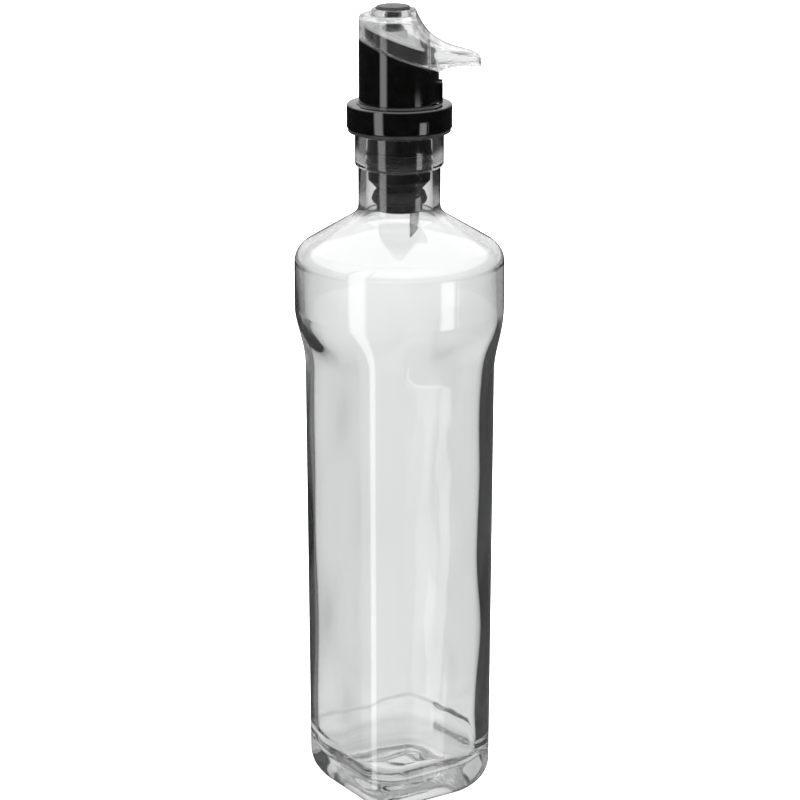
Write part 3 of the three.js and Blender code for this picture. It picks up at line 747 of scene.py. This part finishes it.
def button_pieces():
    dome = arc(0, 293.5 - 26, 26, 90, 77.2, 10)[::-1]
    outline = rounded([(0, 291.1, 0), (5.5, 291.1, 0.2), (BUTTON_R, 291.6, 0.25), (BUTTON_R, 292.6, 0.25)])
    finish_piece(turned("press_button", outline + dome, STEM_X), "button", "matt_plastic", "push_button")
    stem = rounded([(0, 250.6, 0), (ROD_R, 250.6, 0.4), (ROD_R, 276.6, 0.1), (STEM_R, 276.6, 0.3),
                    (STEM_R, 291.05, 0.1), (0, 291.05, 0)])
    finish_piece(turned("stem_rod", stem, STEM_X, 64), "button", "black_plastic", "button_stem")
    rings = [
        ("stem_lip_seal", STEM_R + 0.05, 4.0, 282.8, 284.3, 0.3, "pourer", "clear_seal", "stem_seal"),
        ("stem_bush", STEM_R + 0.15, 3.95, 284.35, 286.0, 0.2, "pourer", "clear_plastic", "guide_bush"),
        ("spring_cap", ROD_R + 0.05, 4.2, SPRING_TOP_Z + 0.05, 276.5, 0.25, "button", "black_plastic",
         "spring_retainer"),
        ("port_seal", ROD_R + 0.05, 5.4, 254.65, 256.9, 0.5, "button", "clear_seal", "valve_seal"),
        ("port_disc", ROD_R + 0.05, 5.5, 252.8, 254.6, 0.25, "button", "black_plastic", "valve_disc"),
    ]
    for name, inner, outer, low, top, fillet, body, slot, node in rings:
        finish_piece(ring(name, inner, outer, low, top, fillet, STEM_X, 72), body, slot, node)


def coil_spring():
    """The return spring: an open coil with closed ends, drawn at one length, though the real one shortens as
    the button goes down.
    """
    around, along = 14, SPRING_TURNS * 36
    share = np.linspace(0, 1, along + 1)
    angle = share * SPRING_TURNS * 2 * math.pi
    eased = share - 0.045 * np.sin(2 * math.pi * share)
    height = SPRING_LOW_Z + WIRE_R + eased * (SPRING_TOP_Z - SPRING_LOW_Z - 2 * WIRE_R)
    lean = 2 * math.pi * np.arange(around) / around
    radius = SPRING_R + WIRE_R * np.cos(lean)[None, :]
    points = np.stack([
        STEM_X + radius * np.cos(angle)[:, None],
        radius * np.sin(angle)[:, None],
        height[:, None] + WIRE_R * np.sin(lean)[None, :],
    ], -1).reshape(-1, 3)
    faces = [tuple(range(around)), tuple(range(along * around, (along + 1) * around))]
    for i in range(along):
        for j in range(around):
            k = (j + 1) % around
            faces.append((i * around + j, i * around + k, (i + 1) * around + k, (i + 1) * around + j))
    spring = finish_piece(mesh_object("coil_spring", points, faces, 60), "pourer", "steel", "return_spring")
    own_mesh(spring)


def web_field(x, y, z):
    """The web that the spring stands on, with its ring of oil holes."""
    web = meet(tube_field(x, y, INNER_BODY_BORE_R - 0.05), slab_field(z, WEB_LOW_Z, SPRING_LOW_Z - 0.05), 0.2)
    web = cut(web, tube_field(x, y, ROD_R + 0.2, STEM_X), 0.15)
    for i in range(WEB_HOLES):
        angle = i * 2 * math.pi / WEB_HOLES
        hole_x = STEM_X + WEB_HOLE_CIRCLE_R * math.cos(angle)
        hole_y = WEB_HOLE_CIRCLE_R * math.sin(angle)
        web = cut(web, np.hypot(x - hole_x, y - hole_y) - WEB_HOLE_R, 0.2)
    return web


def seat_field(x, y, z):
    """The valve's seat, with the oil's port and the vent's hole."""
    disc = meet(tube_field(x, y, INNER_BODY_BORE_R - 0.05), slab_field(z, 257, 258.6), 0.2)
    ported = cut(disc, tube_field(x, y, FLOW_R, STEM_X), 0.3)
    return cut(ported, tube_field(x, y, VENT_BORE_R, VENT_X), 0.15)


def web_pieces():
    pieces = [
        ("spring_web", web_field, 260, 264, "spring_seat"),
        ("port_seat", seat_field, 256, 260, "valve_seat"),
    ]
    for name, field, low, top, node in pieces:
        web = field_mesh(name, field, (-12, -12, low), (12, 12, top), 0.3)
        finish_piece(web, "pourer", "black_plastic", node)


# ---------- studio ----------

def emitter_material(name, strength):
    material = bpy.data.materials.new(name)
    material.use_nodes = True
    tree = material.node_tree
    tree.nodes.clear()
    light = tree.nodes.new("ShaderNodeEmission")
    light.inputs["Strength"].default_value = strength
    output = tree.nodes.new("ShaderNodeOutputMaterial")
    tree.links.new(light.outputs["Emission"], output.inputs["Surface"])
    return material


def softbox(name, azimuth, width, low, top, strength):
    """A tall upright light panel, facing the bottle and fading at its sides, seen only in reflections."""
    half = width / 2
    corners = [(-half, 0, low), (half, 0, low), (half, 0, top), (-half, 0, top)]
    panel = mesh_object(name, corners, [(0, 1, 2, 3)])
    turn = math.radians(azimuth)
    panel.location = Vector((math.sin(turn), -math.cos(turn), 0)) * SOFTBOX_DISTANCE * MM
    panel.rotation_euler.z = turn
    material = emitter_material(name + "_light", strength)
    tree = material.node_tree
    side = calculate(tree, "ABSOLUTE", axes(tree)["X"])
    glow = rescale(tree, side, half * MM * SOFTBOX_CORE, half * MM, strength, 0.0, "SMOOTHSTEP")
    tree.links.new(glow, tree.nodes["Emission"].inputs["Strength"])
    panel.data.materials.append(material)
    panel.visible_camera = False
    panel.visible_transmission = False
    panel.visible_shadow = False


def studio_floor():
    """A wide pale floor, which lights the glass from behind and below."""
    steps, radius = 96, 6000
    angles = np.arange(steps) * 2 * math.pi / steps
    points = np.stack([radius * np.cos(angles), radius * np.sin(angles), np.full(steps, -0.05)], 1)
    floor = mesh_object("studio_floor", points, [tuple(range(steps))])
    material, shader = new_material(
        "pale_floor", Roughness=0.9, Emission_Color=(1, 1, 1, 1), Emission_Strength=0.72)
    tone = ramp(material, object_noise(material, 3, 3), (0.80, 0.80, 0.80, 1), (0.84, 0.84, 0.84, 1))
    material.node_tree.links.new(tone, shader.inputs["Base Color"])
    floor.data.materials.append(material)
    floor.visible_glossy = False
    floor.visible_transmission = False


def glow_dome():
    """The pale surround that shows through the glass."""
    rings = arc(0, 0, DOME_R, -90, 90, 48)
    dome = turned("glow_dome", [(max(r, 0.0), z) for r, z in rings], steps=96)
    material = emitter_material("dome_light", 1.0)
    tree = material.node_tree
    tree.links.new(dome_level(tree), tree.nodes["Emission"].inputs["Strength"])
    dome.data.materials.append(material)
    dome.visible_camera = False
    dome.visible_diffuse = False
    dome.visible_glossy = False
    dome.visible_shadow = False


def dome_level(tree):
    """The surround's brightness, darker for light that the glass has mirrored inside itself, which draws the
    glass's edges, except on the left."""
    reach = DOME_R * MM
    place = axes(tree)
    height = rescale(tree, place["Z"], -reach, reach, 0.0, 1.0)
    direct, mirrored = (
        grey_ramp(tree, height, [((z / DOME_R + 1) / 2, level) for z, level in stops])
        for stops in (DOME_DIRECT, DOME_MIRRORED))
    left = rescale(tree, place["X"], -0.05 * reach, -0.4 * reach, 0.0, DOME_LEFT)
    level = tree.nodes.new("ShaderNodeMix")
    path = tree.nodes.new("ShaderNodeLightPath")
    tree.links.new(path.outputs["Glossy Depth"], level.inputs["Factor"])
    tree.links.new(direct, level.inputs["A"])
    tree.links.new(calculate(tree, "MAXIMUM", mirrored, left), level.inputs["B"])
    dim = rescale(tree, calculate(tree, "ABSOLUTE", place["X"]), 0.0, reach, 1.0, DOME_SIDE)
    return calculate(tree, "MULTIPLY", level.outputs["Result"], dim)


def studio_world():
    """Light from all round: pale near the horizon, bright overhead, dark below the floor."""
    world = bpy.data.worlds.new("studio")
    bpy.context.scene.world = world
    world.use_nodes = True
    tree = world.node_tree
    height = rescale(tree, axes(tree, "Generated")["Z"], -1.0, 1.0, 0.0, 1.0)
    sky = grey_ramp(tree, height, [(position, level / SKY_STRENGTH) for position, level in SKY])
    background = tree.nodes["Background"]
    background.inputs["Strength"].default_value = SKY_STRENGTH
    tree.links.new(sky, background.inputs["Color"])


def studio():
    studio_floor()
    glow_dome()
    studio_world()
    softbox("softbox_left", -46, 420, -700, 1300, 4.2)
    softbox("softbox_right", 53, 340, -88, 97, 4.5)
    softbox("strip_right", 66.1, 14, -700, 100, 2.2)
    softbox("strip_right_faint", 65.4, 16, -700, 100, 1.0)


def camera():
    data = bpy.data.cameras.new("camera")
    data.lens = LENS
    data.sensor_width = 36
    data.clip_end = 50
    view = bpy.data.objects.new("camera", data)
    bpy.context.scene.collection.objects.link(view)
    aim = Vector(AIM) * MM
    away = Vector((0, -math.cos(PITCH), math.sin(PITCH)))
    view.location = aim + away * DISTANCE * MM
    view.rotation_euler = (-away).to_track_quat("-Z", "Y").to_euler()
    bpy.context.scene.camera = view


glass_bottle()
collar_pieces()
plug_pieces()
vent_tube()
pourer_pieces()
button_pieces()
coil_spring()
web_pieces()
studio()
camera()

bpy.context.scene.view_settings.view_transform = "Standard"
